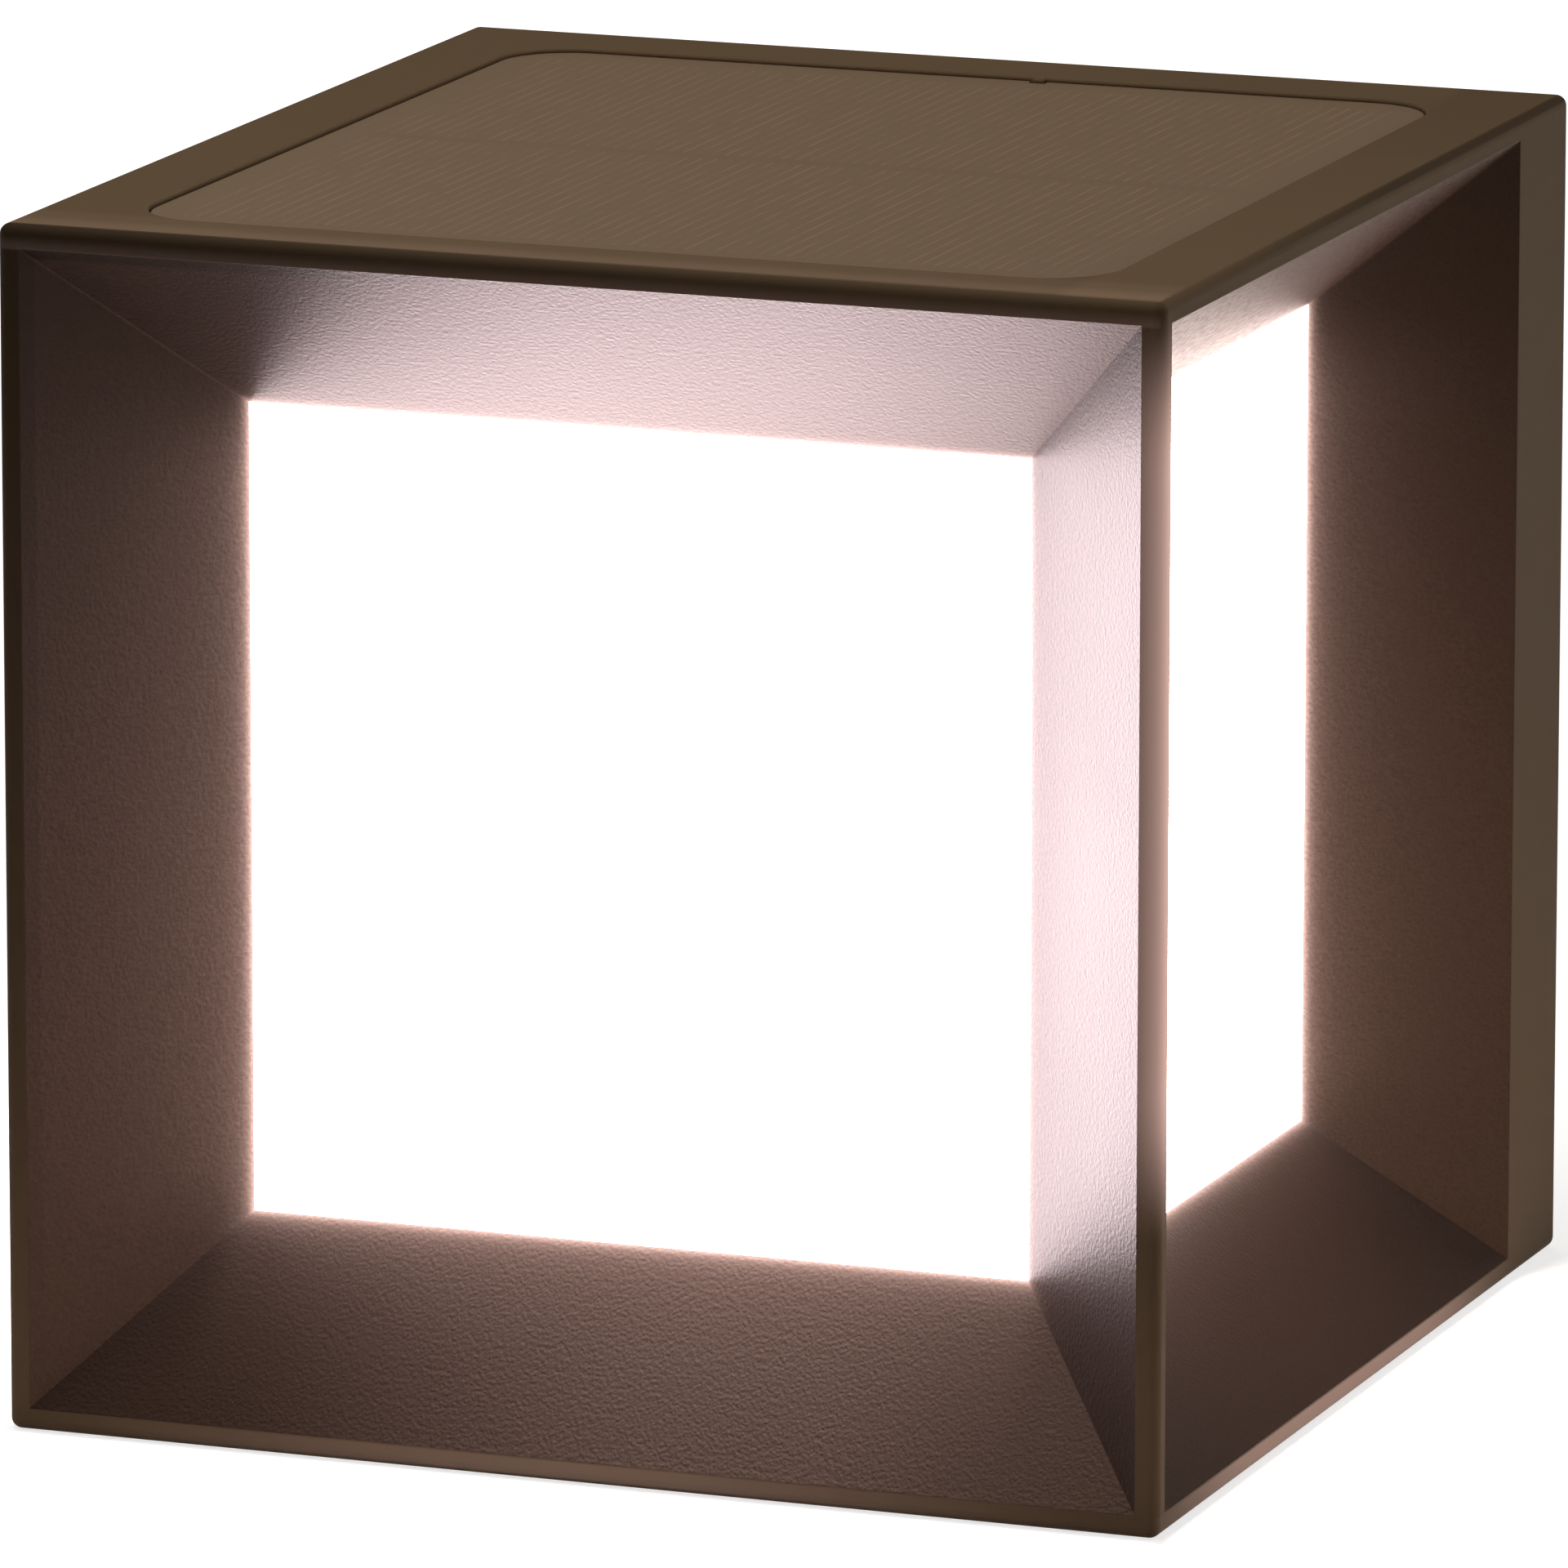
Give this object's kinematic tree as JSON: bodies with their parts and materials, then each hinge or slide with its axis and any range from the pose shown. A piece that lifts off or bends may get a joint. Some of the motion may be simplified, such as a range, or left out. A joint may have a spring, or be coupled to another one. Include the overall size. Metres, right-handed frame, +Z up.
{
  "type": "solar lamp",
  "caption": "Cube-shaped solar lamp: dark moulded housing with deep bevelled windows round an opal light box, solar panel let into the top, closed back with keyholes and a push switch.",
  "frame": {"origin": "middle of the base, on the surface the lamp stands on", "axes": "+X to the right seen from the front, +Y from the front window to the closed back, +Z up"},
  "size_m": [0.15, 0.157, 0.151],
  "materials": {
    "housing_plastic": "fine-grained dark bronze",
    "button_plastic": "satin dark brown",
    "opal_plastic": "opal white, lit from behind",
    "white_plastic": "satin white",
    "solar_sheet": "frosted sheet over dark cells",
    "silicon": "dark silicon with fine contact fingers",
    "board_laminate": "bare laminate",
    "foam_tape": "closed-cell foam",
    "silicone": "matte silicone",
    "red_insulation": "insulation",
    "black_insulation": "insulation",
    "board_white": "white solder mask",
    "led_package": "phosphor in a white package",
    "board_green": "green solder mask",
    "chip_resin": "moulded resin",
    "coil_ferrite": "ferrite",
    "capacitor_can": "drawn can",
    "connector_nylon": "natural nylon",
    "switch_body": "moulded body",
    "switch_plunger": "acetal",
    "cell_wrap": "plain shrink wrap over a can",
    "nickel": "nickel plated",
    "clamp_steel": "zinc plated",
    "screw_steel": "zinc plated",
    "stainless": "stainless"
  },
  "bodies": {
    "lamp": {"housing": "housing_plastic", "back_cover": "housing_plastic", "diffuser_box": "opal_plastic", "reflector_tray": "white_plastic", "solar_cover": "solar_sheet", "solar_cells": "silicon", "solar_substrate": "board_laminate", "solar_adhesive": "foam_tape", "solar_grommet": "silicone", "button_seal": "silicone", "cover_gasket": "silicone", "solar_lead_red": "red_insulation", "battery_lead_red": "red_insulation", "led_lead_red": "red_insulation", "solar_lead_black": "black_insulation", "battery_lead_black": "black_insulation", "led_lead_black": "black_insulation", "led_board": "board_white", "leds": "led_package", "control_board": "board_green", "board_chips": "chip_resin", "board_coil": "coil_ferrite", "board_capacitors": "capacitor_can", "lead_sockets": "connector_nylon", "lead_plugs": "connector_nylon", "power_switch": "switch_body", "battery_cell": "cell_wrap", "battery_terminals": "nickel", "battery_clamp": "clamp_steel", "tray_screws": "screw_steel", "led_screws": "screw_steel", "board_screws": "screw_steel", "clamp_screws": "screw_steel", "cover_screws": "stainless"},
    "button": {"power_button": "button_plastic", "switch_plunger": "switch_plunger"}
  },
  "joints": [
    {"name": "button_press", "type": "slide", "parent": "lamp", "child": "button", "axis": [0, -1, 0], "range_m": [0, 0.0015], "stiffness_N_per_m": 600, "springref_m": -0.002}
  ]
}
